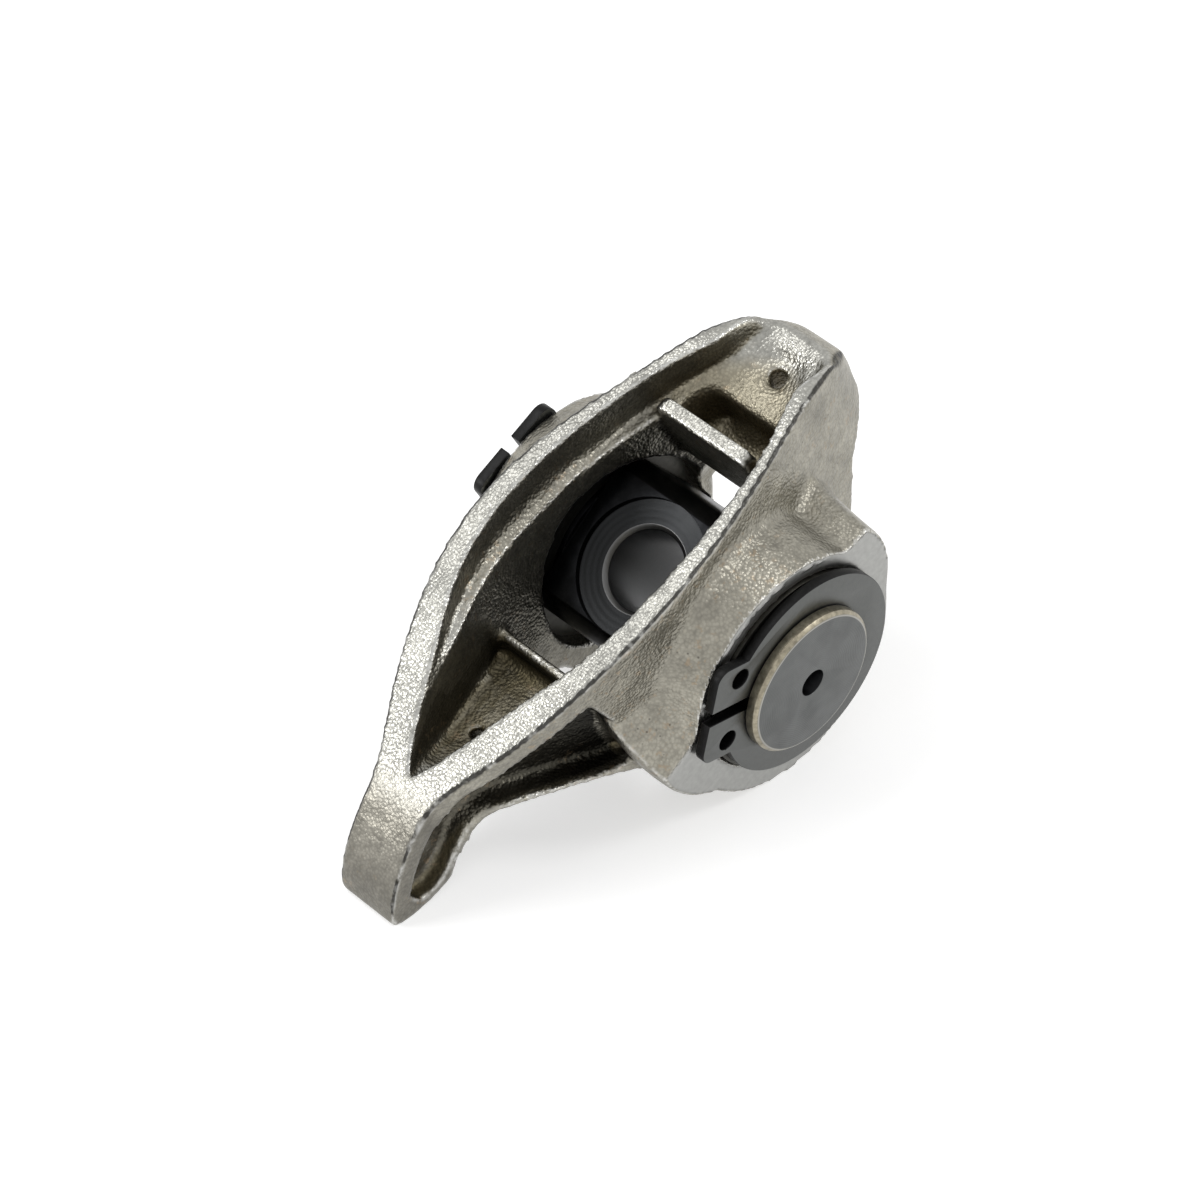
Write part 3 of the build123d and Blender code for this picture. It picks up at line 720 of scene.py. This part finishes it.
def cageTree():
    g, (inner, outer, length, end, count, width, turn, place, finish) = newTree("cage", [
        ("Inner", "Float"), ("Outer", "Float"), ("Length", "Float"), ("End", "Float"), ("Bars", "Int"),
        ("Bar Width", "Float"), ("Turn", "Float"), ("Place", "Vector"), ("Finish", "Material")])
    wall = outer - inner
    middle = (outer + inner) / 2
    circle = g.node("GeometryNodeCurvePrimitiveCircle", {},
                    {"Resolution": bearing["hoopSteps"], "Radius": middle})
    section = g.node("GeometryNodeCurvePrimitiveQuadrilateral", {}, {"Width": wall, "Height": end})
    hoop = g.node("GeometryNodeCurveToMesh", {}, {"Curve": circle, "Profile Curve": section})
    hoops = []
    for side in (-0.5, 0.5):
        lift = g.node("ShaderNodeCombineXYZ", {}, {"Z": (length - end) * side})
        hoops.append(g.node("GeometryNodeTransform", {}, {"Geometry": hoop, "Translation": lift}))
    size = g.node("ShaderNodeCombineXYZ", {}, [wall, width, length - end])
    bar = g.node("GeometryNodeMeshCube", {}, {"Size": size})
    places = g.node("GeometryNodeMeshCircle", {}, {"Vertices": count, "Radius": middle})
    angle = g.node("ShaderNodeCombineXYZ", {}, {"Z": g.node("GeometryNodeInputIndex") * (2 * pi) / count})
    bars = g.node("GeometryNodeInstanceOnPoints", {}, {"Points": places, "Instance": bar, "Rotation": angle})
    joined = g.tree.nodes.new("GeometryNodeJoinGeometry")
    for part in (bars, *hoops):
        g.tree.links.new(part.socket, joined.inputs[0])
    spin = g.node("ShaderNodeCombineXYZ", {}, {"Z": turn})
    turned = g.node("GeometryNodeTransform", {}, {"Geometry": Wire(g, joined.outputs[0]), "Rotation": spin})
    laid = g.node("GeometryNodeTransform", {},
                  {"Geometry": turned, "Translation": place, "Rotation": (pi / 2, 0, 0)})
    return closeTree(g, laid, finish)


def growPiece(name, tree, values):  # a plain mesh from a Geometry Nodes tree
    piece = bpy.data.objects.new(name, bpy.data.meshes.new(name))
    bpy.context.scene.collection.objects.link(piece)
    grow = piece.modifiers.new("grow", "NODES")
    grow.node_group = tree
    for item in tree.interface.items_tree:
        if item.in_out == "INPUT":
            grow[item.identifier] = values[item.name]
    mesh = applyModifiers(piece)
    mesh.materials.clear()
    mesh.materials.append(values["Finish"])
    work = bmesh.new()
    work.from_mesh(mesh)
    for face in work.faces:
        face.material_index = 0
    bmesh.ops.remove_doubles(work, verts=work.verts, dist=weld)
    bmesh.ops.recalc_face_normals(work, faces=work.faces)
    work.to_mesh(mesh)
    work.free()
    return piece


def makeBearings():
    roller = needleTree()
    spacer = cageTree()
    step = 2 * pi / bearing["needles"]
    for end, side in (("front", -1), ("rear", 1)):
        y = side * bearing["middle"]
        cage = growPiece(end + "_cage_finished", spacer, {
            "Inner": bearing["cageInner"], "Outer": bearing["cageOuter"], "Length": bearing["cageLength"],
            "End": bearing["cageEnd"], "Bars": bearing["needles"], "Bar Width": bearing["barWidth"],
            "Turn": boltLean + step / 2, "Place": (0.0, y, 0.0), "Finish": cageSteel})
        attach(cage, end + "_cage")
        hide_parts(end + "_bearing_cage")
        for index in range(bearing["needles"]):
            angle = boltLean + index * step
            name = "%s_needle_%02d" % (end, index + 1)
            place = (bearing["pitchRadius"] * cos(angle), y, bearing["pitchRadius"] * sin(angle))
            needle = growPiece(name + "_finished", roller, {
                "Radius": bearing["needleRadius"], "Length": bearing["needleLength"],
                "Rounding": bearing["needleRound"], "Place": place, "Finish": needleSteel})
            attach(needle, name)
            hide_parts(name)
        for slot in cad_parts[end + "_bearing_cup"].material_slots:
            slot.material = cupSteel
    print("bearings made")


makeBearings()


studio = {
    "floorHalf": 3.0,               # in metres
    "paper": (0.74, 0.74, 0.74),
    "paperGlow": 0.52,              # what the camera sees added to the lit paper
    "world": 0.60,                  # light from all around, which the camera sees as 1
}


def makeFloor():
    mesh = bpy.data.meshes.new("floor")
    half = studio["floorHalf"]
    low = cadBox[0][2]
    corners = [(-half, -half, low), (half, -half, low), (half, half, low), (-half, half, low)]
    mesh.from_pydata(corners, [], [(0, 1, 2, 3)])
    floor = bpy.data.objects.new("floor", mesh)
    bpy.context.scene.collection.objects.link(floor)
    f = Finish("floorPaper")
    glow = f.seen() * studio["paperGlow"]
    f.dress(Base_Color=studio["paper"], Roughness=0.9, Specular_IOR_Level=0.0, Emission_Color=(1.0, 1.0, 1.0),
            Emission_Strength=glow)
    mesh.materials.append(f.material)


def makeWorld():
    world = bpy.data.worlds.new("studio")
    bpy.context.scene.world = world
    world.use_nodes = True
    f = Graph(world.node_tree)
    strength = f.seen() * (1 - studio["world"]) + studio["world"]
    back = f.node("ShaderNodeBackground", {}, {"Color": (1.0, 1.0, 1.0), "Strength": strength})
    f.node("ShaderNodeOutputWorld", {}, {"Surface": back}, None)


lamps = {                           # places and sizes in mm, power in watts
    "window": {"place": (-430, 270, 190), "size": 190, "power": 1.0},
    "ceiling": {"place": (-100, 250, 500), "size": 260, "power": 0.70},
    "side": {"place": (270, -330, 400), "size": 150, "power": 0.6},
}


def makeLamps():
    for name, lamp in lamps.items():
        light = bpy.data.lights.new(name, "AREA")
        light.size = lamp["size"] * mm
        light.energy = lamp["power"]
        holder = bpy.data.objects.new(name, light)
        holder.location = Vector(lamp["place"]) * mm
        holder.rotation_euler = (-holder.location).to_track_quat("-Z", "Y").to_euler()
        bpy.context.scene.collection.objects.link(holder)


photoView = {
    "place": (-251.462, -248.042, 353.975),
    "target": (-5.972, 4.392, -1.007),
    "roll": radians(-0.58),
    "lens": 151.279,
    "sensor": 36.0,
    "nearest": 0.01,
}


def makeCamera():
    data = bpy.data.cameras.new("camera")
    data.lens = photoView["lens"]
    data.sensor_width = photoView["sensor"]
    data.clip_start = photoView["nearest"]
    camera = bpy.data.objects.new("camera", data)
    camera.location = Vector(photoView["place"]) * mm
    aim = Vector(photoView["target"]) * mm - camera.location
    turn = aim.to_track_quat("-Z", "Y").to_matrix() @ Matrix.Rotation(photoView["roll"], 3, "Z")
    camera.rotation_euler = turn.to_euler()
    bpy.context.scene.collection.objects.link(camera)
    bpy.context.scene.camera = camera


makeFloor()
makeWorld()
makeLamps()
makeCamera()
bpy.context.scene.view_settings.view_transform = "Standard"
print("studio set")
